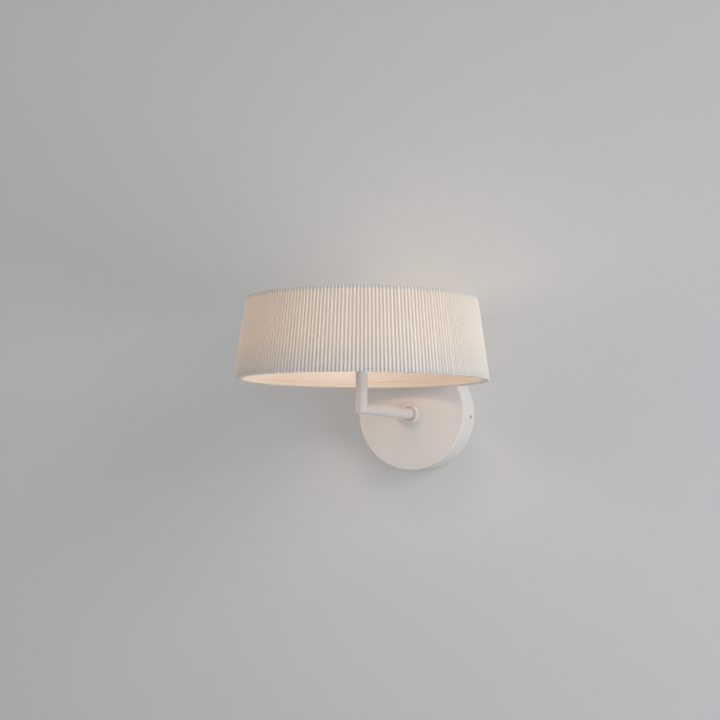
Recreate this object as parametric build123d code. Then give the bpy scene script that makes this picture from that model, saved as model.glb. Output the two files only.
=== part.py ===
"""Wall sconce: a pleated drum shade on a mitred arm that stands out from a round wall cover.

Sizes are in millimetres. The wall is the plane Y = 0, the light stands out from it towards -Y,
+X is to the right when facing the wall and +Z is up. The origin is the middle of the bracket's
back face, and the arm's axis runs out from it. Threads are modelled as plain cylinders.
"""

import math
import os

from build123d import *

# Fits, each measured on the radius or across a flat joint
THREAD_CLEARANCE = 0.05
HOLE_CLEARANCE = 0.3
TURN_CLEARANCE = 0.3
GLUE_GAP = 0.1
END_PLAY = 0.3

# Wall cover
COVER_DIAMETER = 122.4
COVER_DEPTH = 36.7
COVER_WALL = 2.0
COVER_EDGE_RADIUS = 1.2
COVER_BACK_EDGE = 0.4
SHADOW_GAP = 0.9
BOSS_DIAMETER = 7.0
BOSS_HEIGHT = 4.0

# Wall bracket
BRACKET_THICKNESS = 2.0
BRACKET_HEIGHT = 30.0
BRACKET_CLEARANCE = 0.5
TAB_WIDTH = 14.0
TAB_MARGIN = 5.0
CABLE_HOLE_DIAMETER = 16.0
SLOT_SPACING = 60.0
SLOT_LENGTH = 14.0
SLOT_WIDTH = 5.2

# Headless screws in the cover's rim
GRUB_DIAMETER = 4.0
GRUB_LENGTH = 8.0
GRUB_FROM_WALL = 13.0
GRUB_DROP = 3.0
GRUB_RECESS = 1.2
GRUB_SOCKET_FLATS = 2.0
GRUB_SOCKET_DEPTH = 2.2

# Arm, stem and the threaded tubes in them
TUBE_DIAMETER = 12.0
SHADE_TO_COVER = 5.1
NIPPLE_DIAMETER = 8.0
NIPPLE_BORE = 5.6
NIPPLE_GRIP = 12.0
NIPPLE_TAIL = 2.0
NUT_FLATS = 13.0
NUT_THICKNESS = 5.0
WASHER_DIAMETER = 16.0
WASHER_THICKNESS = 1.2
COLLAR_DIAMETER = 22.0
COLLAR_LENGTH = 7.0
COLLAR_RECESS_DIAMETER = 16.6
COLLAR_RECESS_DEPTH = 1.4
COLLAR_EDGE = 1.2

# Shade
SHADE_BOTTOM_DIAMETER = 260.0
SHADE_TOP_DIAMETER = 236.4
SHADE_HEIGHT = 83.2
SHADE_RISE = 27.6
PLEAT_PITCH = 3.89
PLEAT_DEPTH = 3.0
PLEAT_TIP_WIDTH = 1.6
CLOTH_THICKNESS = 0.4
LINER_THICKNESS = 1.0
RING_WIDTH = 4.0
RING_HEIGHT = 5.0
RING_EDGE_RADIUS = 0.8
RING_INSET = 0.4

# Spider and finial
SPIDER_ARMS = 3
SPIDER_ROD_DIAMETER = 4.0
HUB_DIAMETER = 30.0
HUB_THICKNESS = 3.0
FINIAL_DIAMETER = 18.0
FINIAL_HEIGHT = 11.5
FINIAL_GRIP = 8.0
FINIAL_EDGE = 1.2
FINIAL_FLUTES = 24
FINIAL_FLUTE_RADIUS = 0.6

# Lamp head
HEAD_RECESS = 16.0
CAP_THICKNESS = 3.0
CAP_LIP_HEIGHT = 2.0
CAP_LIP_WALL = 1.6
CAP_EDGE_RADIUS = 0.8
CORE_DIAMETER = 36.0
CORE_HEIGHT = 38.0
OPAL_DIAMETER = 60.0
OPAL_WALL = 2.0
STRIP_THICKNESS = 0.4
STRIP_HEIGHT = 30.0
CHIP_SIZE = 3.0
CHIP_THICKNESS = 0.8
CHIPS_ROUND = 12
CHIP_ROWS = 2
LEAD_EXIT_HEIGHT = 8.0
LEAD_EXIT_DIAMETER = 5.0

# Electrics in the cover
DRIVER_LENGTH = 58.0
DRIVER_HEIGHT = 24.0
DRIVER_DEPTH = 18.0
DRIVER_RISE = 28.0
DRIVER_EDGE_RADIUS = 1.5
EAR_LENGTH = 8.0
EAR_WIDTH = 9.0
EAR_THICKNESS = 3.0
TERMINAL_POLES = 3
POLE_PITCH = 9.0
POLE_WIDTH = 7.6
TERMINAL_HEIGHT = 15.0
TERMINAL_DEPTH = 13.0
TERMINAL_DROP = 33.0
ENTRY_DIAMETER = 3.0
ENTRY_DEPTH = 4.5
CLAMP_SCREW_DIAMETER = 3.2
CLAMP_SCREW_LENGTH = 3.5
CLAMP_SCREW_RECESS = 1.0
MODULE_SCREW_DIAMETER = 3.0
MODULE_HEAD_DIAMETER = 5.6
MODULE_HEAD_HEIGHT = 2.2
MODULE_SCREW_GRIP = 3.2
EARTH_SCREW_DIAMETER = 4.0
EARTH_HEAD_DIAMETER = 7.6
EARTH_HEAD_HEIGHT = 2.6
EARTH_ACROSS = 18.0
EARTH_RISE = 9.0
LUG_DIAMETER = 8.6
LUG_THICKNESS = 0.8
LUG_BARREL_DIAMETER = 3.6
LUG_BARREL_LENGTH = 7.0
LUG_BARREL_LIFT = 0.3

# Leads
LEAD_DIAMETER = 4.6
WIRE_DIAMETER = 2.2
CORE_WIRE_DIAMETER = 1.2
CORE_WIRE_SPACING = 2.0
WIRE_END_INSIDE = 3.5
LEAD_FROM_COVER = 7.0
LEAD_TURN_IN = 13.0
OUTER_WIRE_FROM_COVER = 1.2
INNER_WIRE_FROM_COVER = 13.5
OUTER_WIRE_RISE = 7.0
INNER_WIRE_RISE = 14.0
OUTER_WIRE_CORNER = -4.0
INNER_WIRE_CORNER = 3.0
EARTH_WIRE_RISE = 7.0
EARTH_WIRE_RUN_IN = 9.0

# Values worked out from the ones above
TUBE_BORE = NIPPLE_DIAMETER + 2 * THREAD_CLEARANCE
COVER_RADIUS = COVER_DIAMETER / 2
COVER_INNER_RADIUS = COVER_RADIUS - COVER_WALL
COVER_FLOOR = COVER_DEPTH - COVER_WALL
MODULE_SEAT = COVER_FLOOR - BOSS_HEIGHT
TAB_DEPTH = GRUB_FROM_WALL + TAB_MARGIN
BRACKET_REACH = COVER_INNER_RADIUS - BRACKET_CLEARANCE
TAB_FACE = math.sqrt(BRACKET_REACH**2 - (TAB_WIDTH / 2) ** 2)
ARM_START = COVER_DEPTH + COLLAR_LENGTH - COLLAR_RECESS_DEPTH
ARM_REACH = COVER_DEPTH + SHADE_TO_COVER + SHADE_BOTTOM_DIAMETER / 2
WALL_NUT_BACK = COVER_FLOOR - WASHER_THICKNESS - NUT_THICKNESS
STEM_TOP = SHADE_RISE + HEAD_RECESS
CAP_TOP = STEM_TOP + CAP_THICKNESS
CORE_TOP = CAP_TOP + CORE_HEIGHT
HUB_SEAT = CORE_TOP + CAP_THICKNESS + NUT_THICKNESS
HUB_TOP = HUB_SEAT + HUB_THICKNESS
SHADE_TOP = SHADE_RISE + SHADE_HEIGHT
LEAD_END = CAP_TOP + LEAD_EXIT_HEIGHT - 2 * CORE_WIRE_DIAMETER
PLEAT_COUNT = round(math.pi * SHADE_BOTTOM_DIAMETER / PLEAT_PITCH)
EAR_HOLE_ACROSS = DRIVER_LENGTH / 2 + EAR_LENGTH / 2
TERMINAL_HOLE_ACROSS = POLE_PITCH / 2

# A piece of the wall side is drawn with x to the right, y up and z out from the wall, then turned.
OUT_FROM_WALL = Rot(90, 0, 0)
# A piece of the head and the shade is drawn around Z and stands on the stem's axis.
ON_STEM = Pos(0, -ARM_REACH, 0)
FROM_BELOW = (Align.CENTER, Align.CENTER, Align.MIN)


def rod(radius, low, high):
    """A cylinder around Z between two heights."""
    return Pos(0, 0, low) * Cylinder(radius, high - low, align=FROM_BELOW)


def tube(outer_radius, inner_radius, low, high):
    """A pipe around Z between two heights."""
    return rod(outer_radius, low, high) - rod(inner_radius, low, high)


def turned(points, rounds=(), chamfers=()):
    """Turns an outline of (radius, height) points around Z; named corners are rounded or bevelled."""
    outline = make_face(Polyline(*points, close=True))
    for corner, size in rounds:
        nearest = outline.vertices().sort_by_distance((*corner, 0))[0]
        outline = fillet(nearest, size)
    for corner, size in chamfers:
        nearest = outline.vertices().sort_by_distance((*corner, 0))[0]
        outline = chamfer(nearest, size)
    return revolve(Plane.XZ * outline, axis=Axis.Z)


def hexagon(flats, low, high):
    """A six-sided prism around Z, given by the distance across its flats."""
    outline = RegularPolygon(flats / 2, 6, major_radius=False)
    return Pos(0, 0, low) * extrude(outline, high - low)


def across(radius, length):
    """A cylinder along X, centred on the origin."""
    return Rot(0, 90, 0) * Cylinder(radius, length)


def upright(radius, length):
    """A cylinder along Y, centred on the origin."""
    return Rot(90, 0, 0) * Cylinder(radius, length)


def hex_nut(low):
    """A plain nut on the threaded tube, with its lower face at the given height."""
    body = hexagon(NUT_FLATS, low, low + NUT_THICKNESS)
    corners = rod(NUT_FLATS * 0.56, low, low + NUT_THICKNESS)
    return (body & corners) - rod(NIPPLE_DIAMETER / 2 + THREAD_CLEARANCE, low, low + NUT_THICKNESS)


def bend_radii(points, tightest):
    """For each corner, the largest arc its two runs leave room for, no larger than the stated one."""
    radii = []
    for before, corner, after in zip(points, points[1:], points[2:]):
        first = Vector(*corner) - Vector(*before)
        second = Vector(*after) - Vector(*corner)
        half_turn = math.radians(first.get_angle(second)) / 2
        room = 0.45 * min(first.length, second.length) / math.tan(half_turn)
        radii.append(min(room, tightest.get(corner, room)))
    return radii


def lead(points, diameter, tightest=None):
    """A round lead along straight runs joined by arcs."""
    path = FilletPolyline(*points, radius=bend_radii(points, tightest or {}))
    start = Plane(origin=path @ 0, z_dir=path % 0)
    return sweep(start * Circle(diameter / 2), path=path)


def module_screw_places():
    """The four places where a screw holds the driver or the terminal block on the cover's bosses."""
    driver = [(side * EAR_HOLE_ACROSS, DRIVER_RISE) for side in (-1, 1)]
    terminal = [(side * TERMINAL_HOLE_ACROSS, -TERMINAL_DROP) for side in (-1, 1)]
    return driver + terminal


def pole_places():
    """How far across from the middle each pole of the terminal block is."""
    first = -POLE_PITCH * (TERMINAL_POLES - 1) / 2
    return [first + POLE_PITCH * i for i in range(TERMINAL_POLES)]


def wall_bracket():
    """The strap on the wall, with slots for the wall screws and a threaded tab at each end."""
    strap = Box(2 * TAB_FACE, BRACKET_HEIGHT, BRACKET_THICKNESS, align=FROM_BELOW)
    strap &= rod(BRACKET_REACH, 0, BRACKET_THICKNESS)
    for side in (-1, 1):
        middle = side * (TAB_FACE - BRACKET_THICKNESS / 2)
        strap += Pos(middle, 0, 0) * Box(BRACKET_THICKNESS, TAB_WIDTH, TAB_DEPTH, align=FROM_BELOW)
        thread = across(GRUB_DIAMETER / 2 + THREAD_CLEARANCE, 3 * BRACKET_THICKNESS)
        strap -= Pos(middle, -GRUB_DROP, GRUB_FROM_WALL) * thread
        slot = extrude(SlotOverall(SLOT_LENGTH, SLOT_WIDTH), BRACKET_THICKNESS)
        strap -= Pos(side * SLOT_SPACING / 2, 0, 0) * slot
    strap -= rod(CABLE_HOLE_DIAMETER / 2, 0, BRACKET_THICKNESS)
    earth_hole = rod(EARTH_SCREW_DIAMETER / 2 + THREAD_CLEARANCE, 0, BRACKET_THICKNESS)
    strap -= Pos(EARTH_ACROSS, EARTH_RISE, 0) * earth_hole
    return OUT_FROM_WALL * strap


def wall_cover():
    """The cup that hides the bracket and carries the arm, with bosses inside for the electrics."""
    hole = NIPPLE_DIAMETER / 2 + HOLE_CLEARANCE
    front_corner = (COVER_RADIUS, COVER_DEPTH)
    inside_corner = (COVER_INNER_RADIUS, COVER_FLOOR)
    back_corner = (COVER_RADIUS, SHADOW_GAP)
    outline = [
        (hole, COVER_FLOOR),
        inside_corner,
        (COVER_INNER_RADIUS, SHADOW_GAP),
        back_corner,
        front_corner,
        (hole, COVER_DEPTH),
    ]
    rounds = [(front_corner, COVER_EDGE_RADIUS), (inside_corner, COVER_EDGE_RADIUS)]
    cup = turned(outline, rounds, [(back_corner, COVER_BACK_EDGE)])
    for side in (-1, 1):
        screw_hole = across(GRUB_DIAMETER / 2 + HOLE_CLEARANCE, 4 * COVER_WALL)
        cup -= Pos(side * COVER_RADIUS, -GRUB_DROP, GRUB_FROM_WALL) * screw_hole
    for x, y in module_screw_places():
        boss = tube(BOSS_DIAMETER / 2, MODULE_SCREW_DIAMETER / 2 + THREAD_CLEARANCE, MODULE_SEAT, COVER_FLOOR)
        cup += Pos(x, y, 0) * boss
    return OUT_FROM_WALL * cup


def cover_grub_screws():
    """The two headless screws that hold the cover on the bracket's tabs."""
    screw = rod(GRUB_DIAMETER / 2, -GRUB_LENGTH, 0) - hexagon(GRUB_SOCKET_FLATS, -GRUB_SOCKET_DEPTH, 0)
    end = COVER_RADIUS - GRUB_RECESS
    screws = []
    for side in (-1, 1):
        place = Pos(side * end, -GRUB_DROP, GRUB_FROM_WALL) * Rot(0, side * 90, 0)
        screws.append(OUT_FROM_WALL * place * screw)
    return screws


def arm_collar():
    """The turned ring between cover and arm; the arm's end stands in its recess."""
    bore = NIPPLE_DIAMETER / 2 + HOLE_CLEARANCE
    front = COVER_DEPTH + COLLAR_LENGTH
    front_corner = (COLLAR_DIAMETER / 2, front)
    recess_corner = (COLLAR_RECESS_DIAMETER / 2, front)
    outline = [
        (bore, COVER_DEPTH),
        (COLLAR_DIAMETER / 2, COVER_DEPTH),
        front_corner,
        recess_corner,
        (COLLAR_RECESS_DIAMETER / 2, ARM_START),
        (bore, ARM_START),
    ]
    wall = (COLLAR_DIAMETER - COLLAR_RECESS_DIAMETER) / 2
    edge = min(COLLAR_EDGE, 0.6 * wall)
    rounds = [(front_corner, edge), (recess_corner, edge / 3)]
    return OUT_FROM_WALL * turned(outline, rounds)


def wall_nipple():
    """The threaded tube through cover and collar into the arm."""
    start = WALL_NUT_BACK - NIPPLE_TAIL
    return OUT_FROM_WALL * tube(NIPPLE_DIAMETER / 2, NIPPLE_BORE / 2, start, ARM_START + NIPPLE_GRIP)


def wall_washer():
    """The washer under the nut inside the cover."""
    bore = NIPPLE_DIAMETER / 2 + HOLE_CLEARANCE
    return OUT_FROM_WALL * tube(WASHER_DIAMETER / 2, bore, COVER_FLOOR - WASHER_THICKNESS, COVER_FLOOR)


def wall_nut():
    """The nut inside the cover."""
    return OUT_FROM_WALL * hex_nut(WALL_NUT_BACK)


def mitre():
    """The sloping plane in which the arm and the stem meet; the arm is on its upper side."""
    return Plane(origin=(0, -ARM_REACH, 0), z_dir=(0, 1, -1))


def arm_tube():
    """The tube out from the wall, cut to the mitre at its far end."""
    whole = tube(TUBE_DIAMETER / 2, TUBE_BORE / 2, ARM_START, ARM_REACH + TUBE_DIAMETER)
    return split(OUT_FROM_WALL * whole, bisect_by=mitre(), keep=Keep.TOP)


def stem_tube():
    """The upright tube, cut to the mitre at its lower end."""
    whole = tube(TUBE_DIAMETER / 2, TUBE_BORE / 2, -TUBE_DIAMETER, STEM_TOP)
    return split(ON_STEM * whole, bisect_by=mitre(), keep=Keep.BOTTOM)


def head_nipple():
    """The threaded tube up from the stem, with a window in its side where the wires come out."""
    body = tube(NIPPLE_DIAMETER / 2, NIPPLE_BORE / 2, STEM_TOP - NIPPLE_GRIP, HUB_TOP + FINIAL_GRIP)
    window = across(LEAD_EXIT_DIAMETER / 2, NIPPLE_DIAMETER)
    return ON_STEM * (body - Pos(NIPPLE_DIAMETER / 2, 0, CAP_TOP + LEAD_EXIT_HEIGHT) * window)


def cap(opal_side, plain_side):
    """A disc with a lip around the opal tube; it lies between the heights of its two faces."""
    bore = NIPPLE_DIAMETER / 2 + HOLE_CLEARANCE
    lip_inside = OPAL_DIAMETER / 2 + HOLE_CLEARANCE
    lip_outside = lip_inside + CAP_LIP_WALL
    towards_opal = math.copysign(CAP_LIP_HEIGHT, opal_side - plain_side)
    plain_corner = (lip_outside, plain_side)
    outline = [
        (bore, plain_side),
        plain_corner,
        (lip_outside, opal_side + towards_opal),
        (lip_inside, opal_side + towards_opal),
        (lip_inside, opal_side),
        (bore, opal_side),
    ]
    return ON_STEM * turned(outline, [(plain_corner, CAP_EDGE_RADIUS)])


def base_cap():
    """The lower disc of the lamp head, on the stem's end."""
    return cap(CAP_TOP, STEM_TOP)


def top_cap():
    """The upper disc of the lamp head."""
    return cap(CORE_TOP, CORE_TOP + CAP_THICKNESS)


def led_core():
    """The metal core that the LED strip is wrapped around, with a side hole for its wires."""
    body = tube(CORE_DIAMETER / 2, NIPPLE_DIAMETER / 2 + HOLE_CLEARANCE, CAP_TOP, CORE_TOP)
    exit_hole = across(LEAD_EXIT_DIAMETER / 2, CORE_DIAMETER)
    return ON_STEM * (body - Pos(CORE_DIAMETER / 2, 0, CAP_TOP + LEAD_EXIT_HEIGHT) * exit_hole)


def led_strip():
    """The thin board around the core, with a hole where the wires reach it."""
    inside = CORE_DIAMETER / 2 + GLUE_GAP
    middle = CAP_TOP + CORE_HEIGHT / 2
    band = tube(inside + STRIP_THICKNESS, inside, middle - STRIP_HEIGHT / 2, middle + STRIP_HEIGHT / 2)
    hole = Pos(inside, 0, CAP_TOP + LEAD_EXIT_HEIGHT) * across(LEAD_EXIT_DIAMETER / 2, 8 * STRIP_THICKNESS)
    return ON_STEM * (band - hole)


def led_chips():
    """The small light sources, in rows around the strip."""
    surface = CORE_DIAMETER / 2 + GLUE_GAP + STRIP_THICKNESS
    chip = Box(CHIP_THICKNESS, CHIP_SIZE, CHIP_SIZE)
    row_gap = STRIP_HEIGHT / (CHIP_ROWS + 1)
    first_row = CAP_TOP + CORE_HEIGHT / 2 - STRIP_HEIGHT / 2
    chips = []
    for row in range(CHIP_ROWS):
        height = first_row + row_gap * (row + 1)
        for i in range(CHIPS_ROUND):
            turn = Rot(0, 0, 360 * (i + 0.5) / CHIPS_ROUND)
            chips.append(ON_STEM * turn * Pos(surface + CHIP_THICKNESS / 2, 0, height) * chip)
    return chips


def opal_tube():
    """The milky tube around the LEDs, loose between the two caps."""
    radius = OPAL_DIAMETER / 2
    return ON_STEM * tube(radius, radius - OPAL_WALL, CAP_TOP, CORE_TOP - END_PLAY)


def head_nut():
    """The nut that clamps the lamp head; the shade's hub rests on it."""
    return ON_STEM * hex_nut(HUB_SEAT - NUT_THICKNESS)


def shade_radius(height, depth=0.0):
    """The shade's outer radius at a height, less a depth measured inwards."""
    share = (height - SHADE_RISE) / SHADE_HEIGHT
    outer = SHADE_BOTTOM_DIAMETER + (SHADE_TOP_DIAMETER - SHADE_BOTTOM_DIAMETER) * share
    return outer / 2 - depth


def cone_shell(low, high, outer_depth, inner_depth):
    """A ring that follows the shade's slope between two heights and two depths."""
    return turned([
        (shade_radius(low, inner_depth), low),
        (shade_radius(low, outer_depth), low),
        (shade_radius(high, outer_depth), high),
        (shade_radius(high, inner_depth), high),
    ])


def around(radius, angle, height):
    """A point at a radius and an angle around Z."""
    return (radius * math.cos(angle), radius * math.sin(angle), height)


def pleat_section(height):
    """The closed outline of all the pleats at one height: two flanks and a round tip for each."""
    ridge = shade_radius(height)
    shoulder = shade_radius(height, 0.4 * PLEAT_TIP_WIDTH)
    valley = shade_radius(height, PLEAT_DEPTH - CLOTH_THICKNESS)
    step = 2 * math.pi / PLEAT_COUNT
    tip = PLEAT_TIP_WIDTH / SHADE_BOTTOM_DIAMETER
    edges = []
    for i in range(PLEAT_COUNT):
        middle = i * step
        start = around(valley, middle - step / 2, height)
        rise = around(shoulder, middle - tip, height)
        fall = around(shoulder, middle + tip, height)
        end = around(valley, middle + step / 2, height)
        edges.append(Line(start, rise))
        edges.append(ThreePointArc(rise, around(ridge, middle, height), fall))
        edges.append(Line(fall, end))
    return Face(Wire(edges))


def shade_pleats():
    """The pleated cloth, one solid that is thin at the bottom of each fold."""
    folds = loft([pleat_section(SHADE_RISE), pleat_section(SHADE_TOP)], ruled=True)
    inside = turned([
        (0, SHADE_RISE),
        (shade_radius(SHADE_RISE, PLEAT_DEPTH), SHADE_RISE),
        (shade_radius(SHADE_TOP, PLEAT_DEPTH), SHADE_TOP),
        (0, SHADE_TOP),
    ])
    return ON_STEM * (folds - inside)


def shade_liner():
    """The smooth stiff cone that the cloth is fixed to."""
    outer = PLEAT_DEPTH + GLUE_GAP
    return ON_STEM * cone_shell(SHADE_RISE, SHADE_TOP, outer, outer + LINER_THICKNESS)


def ring_inner_radius(height):
    """The inner radius of a ring whose outside follows the liner around a height."""
    return shade_radius(height, PLEAT_DEPTH + 2 * GLUE_GAP + LINER_THICKNESS + RING_WIDTH)


def shade_ring(low):
    """A ring inside the liner, with its outside sloped like the liner and its inner edges rounded."""
    high = low + RING_HEIGHT
    outer = PLEAT_DEPTH + 2 * GLUE_GAP + LINER_THICKNESS
    inner = ring_inner_radius(low + RING_HEIGHT / 2)
    lower_corner = (inner, low)
    upper_corner = (inner, high)
    outline = [lower_corner, (shade_radius(low, outer), low), (shade_radius(high, outer), high), upper_corner]
    rounds = [(lower_corner, RING_EDGE_RADIUS), (upper_corner, RING_EDGE_RADIUS)]
    return ON_STEM * turned(outline, rounds)


def shade_bottom_ring():
    """The ring at the shade's open lower edge."""
    return shade_ring(SHADE_RISE + RING_INSET)


def shade_top_ring():
    """The ring at the shade's open upper edge, which the spider carries."""
    return shade_ring(SHADE_TOP - RING_INSET - RING_HEIGHT)


def shade_spider():
    """The hub on the head nut and the sloping rods out to the top ring."""
    hub_middle = HUB_SEAT + HUB_THICKNESS / 2
    ring_middle = SHADE_TOP - RING_INSET - RING_HEIGHT / 2
    start = HUB_DIAMETER / 2 - SPIDER_ROD_DIAMETER / 2
    run = ring_inner_radius(ring_middle) - HOLE_CLEARANCE - start
    rise = ring_middle - hub_middle
    lean = math.degrees(math.atan2(run, rise))
    length = math.hypot(run, rise)
    spoke = Pos(start, 0, hub_middle) * Rot(0, lean, 0) * rod(SPIDER_ROD_DIAMETER / 2, 0, length)
    spider = rod(HUB_DIAMETER / 2, HUB_SEAT, HUB_TOP)
    for i in range(SPIDER_ARMS):
        spider += Rot(0, 0, 90 + 360 * i / SPIDER_ARMS) * spoke
    return ON_STEM * (spider - rod(NIPPLE_DIAMETER / 2 + TURN_CLEARANCE, HUB_SEAT, HUB_TOP))


def finial():
    """The fluted knob that is screwed down on the hub."""
    top = HUB_TOP + FINIAL_HEIGHT
    radius = FINIAL_DIAMETER / 2
    bore = NIPPLE_DIAMETER / 2 + TURN_CLEARANCE
    bore_end = HUB_TOP + FINIAL_GRIP + END_PLAY
    outline = [
        (bore, HUB_TOP),
        (radius, HUB_TOP),
        (radius, top),
        (0, top),
        (0, bore_end),
        (bore, bore_end),
    ]
    knob = turned(outline, [((radius, top), FINIAL_EDGE)], [((radius, HUB_TOP), FINIAL_EDGE / 2)])
    flute = rod(FINIAL_FLUTE_RADIUS, HUB_TOP + FINIAL_EDGE, top - FINIAL_EDGE)
    for i in range(FINIAL_FLUTES):
        knob -= Rot(0, 0, 360 * i / FINIAL_FLUTES) * Pos(radius, 0, 0) * flute
    return ON_STEM * knob


def led_driver():
    """The sealed driver module, with a screw ear at each end."""
    middle = MODULE_SEAT - DRIVER_DEPTH / 2
    case = Pos(0, 0, middle) * Box(DRIVER_LENGTH, DRIVER_HEIGHT, DRIVER_DEPTH)
    case = fillet(case.edges().filter_by(Axis.Z), DRIVER_EDGE_RADIUS)
    for side in (-1, 1):
        ear = Pos(side * EAR_HOLE_ACROSS, 0, MODULE_SEAT - EAR_THICKNESS / 2)
        case += ear * Box(EAR_LENGTH, EAR_WIDTH, EAR_THICKNESS)
        hole = rod(MODULE_SCREW_DIAMETER / 2 + HOLE_CLEARANCE, MODULE_SEAT - EAR_THICKNESS, MODULE_SEAT)
        case -= Pos(side * EAR_HOLE_ACROSS, 0, 0) * hole
        entries = driver_entries(side)
        for height, size in entries:
            entry = across(size / 2 + HOLE_CLEARANCE, 2 * ENTRY_DEPTH)
            case -= Pos(side * DRIVER_LENGTH / 2, height, entry_out()) * entry
    return OUT_FROM_WALL * Pos(0, DRIVER_RISE, 0) * case


def entry_out():
    """How far out from the wall the driver's leads leave it."""
    return MODULE_SEAT - EAR_THICKNESS - DRIVER_DEPTH / 2 + MODULE_HEAD_HEIGHT


def driver_entries(side):
    """The leads at one end of the driver, as (height from its middle, diameter)."""
    if side > 0:
        return [(0.0, LEAD_DIAMETER)]
    return [(-DRIVER_HEIGHT / 4, WIRE_DIAMETER), (DRIVER_HEIGHT / 4, WIRE_DIAMETER)]


def terminal_block():
    """A screw terminal of three poles joined by a web, on two of the cover's bosses."""
    back = MODULE_SEAT - TERMINAL_DEPTH
    width = POLE_PITCH * (TERMINAL_POLES - 1) + POLE_WIDTH
    web = Box(width, TERMINAL_HEIGHT, EAR_THICKNESS, align=(Align.CENTER, Align.CENTER, Align.MAX))
    block = Pos(0, 0, MODULE_SEAT) * web
    for x in pole_places():
        pole = Box(POLE_WIDTH, TERMINAL_HEIGHT, TERMINAL_DEPTH, align=FROM_BELOW)
        block += Pos(x, 0, back) * pole
    for x in pole_places():
        for side in (-1, 1):
            entry = upright(ENTRY_DIAMETER / 2, 2 * ENTRY_DEPTH)
            block -= Pos(x, side * TERMINAL_HEIGHT / 2, MODULE_SEAT - TERMINAL_DEPTH / 2) * entry
            well = rod(CLAMP_SCREW_DIAMETER / 2 + THREAD_CLEARANCE, back, back + clamp_screw_bottom())
            block -= Pos(x, side * TERMINAL_HEIGHT / 4, 0) * well
    head_room = rod(MODULE_HEAD_DIAMETER / 2 + HOLE_CLEARANCE, back, MODULE_SEAT - EAR_THICKNESS)
    hole = rod(MODULE_SCREW_DIAMETER / 2 + HOLE_CLEARANCE, back, MODULE_SEAT)
    for side in (-1, 1):
        block -= Pos(side * TERMINAL_HOLE_ACROSS, 0, 0) * (head_room + hole)
    return OUT_FROM_WALL * Pos(0, -TERMINAL_DROP, 0) * block


def clamp_screw_bottom():
    """How deep the terminal's clamp screws go below its back face."""
    return CLAMP_SCREW_RECESS + CLAMP_SCREW_LENGTH


def terminal_screws():
    """The slotted clamp screws, two for each pole."""
    back = MODULE_SEAT - TERMINAL_DEPTH
    radius = CLAMP_SCREW_DIAMETER / 2
    screw = rod(radius, back + CLAMP_SCREW_RECESS, back + clamp_screw_bottom())
    slot = Box(2 * radius, radius / 2, CLAMP_SCREW_RECESS)
    screw -= Pos(0, 0, back + CLAMP_SCREW_RECESS) * slot
    screws = []
    for x in pole_places():
        for side in (-1, 1):
            place = Pos(x, side * TERMINAL_HEIGHT / 4 - TERMINAL_DROP, 0)
            screws.append(OUT_FROM_WALL * place * screw)
    return screws


def module_screws():
    """The four screws that hold the driver and the terminal block."""
    seat = MODULE_SEAT - EAR_THICKNESS
    screw = rod(MODULE_SCREW_DIAMETER / 2, seat, MODULE_SEAT + MODULE_SCREW_GRIP)
    screw += rod(MODULE_HEAD_DIAMETER / 2, seat - MODULE_HEAD_HEIGHT, seat)
    slot = Box(MODULE_HEAD_DIAMETER, MODULE_HEAD_DIAMETER / 6, MODULE_HEAD_HEIGHT)
    screw -= Pos(0, 0, seat - MODULE_HEAD_HEIGHT) * slot
    return [OUT_FROM_WALL * Pos(x, y, 0) * screw for x, y in module_screw_places()]


def earth_screw():
    """The screw that holds the earth lug on the bracket."""
    seat = BRACKET_THICKNESS + LUG_THICKNESS
    screw = rod(EARTH_SCREW_DIAMETER / 2, 0, seat)
    screw += rod(EARTH_HEAD_DIAMETER / 2, seat, seat + EARTH_HEAD_HEIGHT)
    slot = Box(EARTH_HEAD_DIAMETER, EARTH_HEAD_DIAMETER / 6, EARTH_HEAD_HEIGHT)
    screw -= Pos(0, 0, seat + EARTH_HEAD_HEIGHT) * slot
    return OUT_FROM_WALL * Pos(EARTH_ACROSS, EARTH_RISE, 0) * screw


def earth_lug():
    """The ring terminal under the earth screw, with a barrel that takes the wire's end."""
    ring = rod(LUG_DIAMETER / 2, BRACKET_THICKNESS, BRACKET_THICKNESS + LUG_THICKNESS)
    barrel = upright(LUG_BARREL_DIAMETER / 2, LUG_BARREL_LENGTH)
    ring += Pos(0, lug_barrel_middle(), lug_barrel_out()) * barrel
    bore = upright(WIRE_DIAMETER / 2 + HOLE_CLEARANCE, LUG_BARREL_LENGTH)
    ring -= Pos(0, lug_barrel_middle() - LUG_THICKNESS, lug_barrel_out()) * bore
    ring -= rod(EARTH_SCREW_DIAMETER / 2 + HOLE_CLEARANCE, 0, 2 * BRACKET_THICKNESS)
    return OUT_FROM_WALL * Pos(EARTH_ACROSS, EARTH_RISE, 0) * ring


def lug_barrel_middle():
    """How far below the earth screw's axis the barrel's middle is."""
    return -(EARTH_HEAD_DIAMETER / 2 + LUG_BARREL_LENGTH / 2)


def lug_barrel_out():
    """How far out from the wall the barrel's axis is."""
    return BRACKET_THICKNESS + LUG_BARREL_DIAMETER / 2 + LUG_BARREL_LIFT


def loop_across(from_cover, height):
    """How far across a loop of lead goes at a height, to stay a distance inside the cover's wall."""
    return math.sqrt((COVER_INNER_RADIUS - from_cover) ** 2 - height**2)


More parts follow.
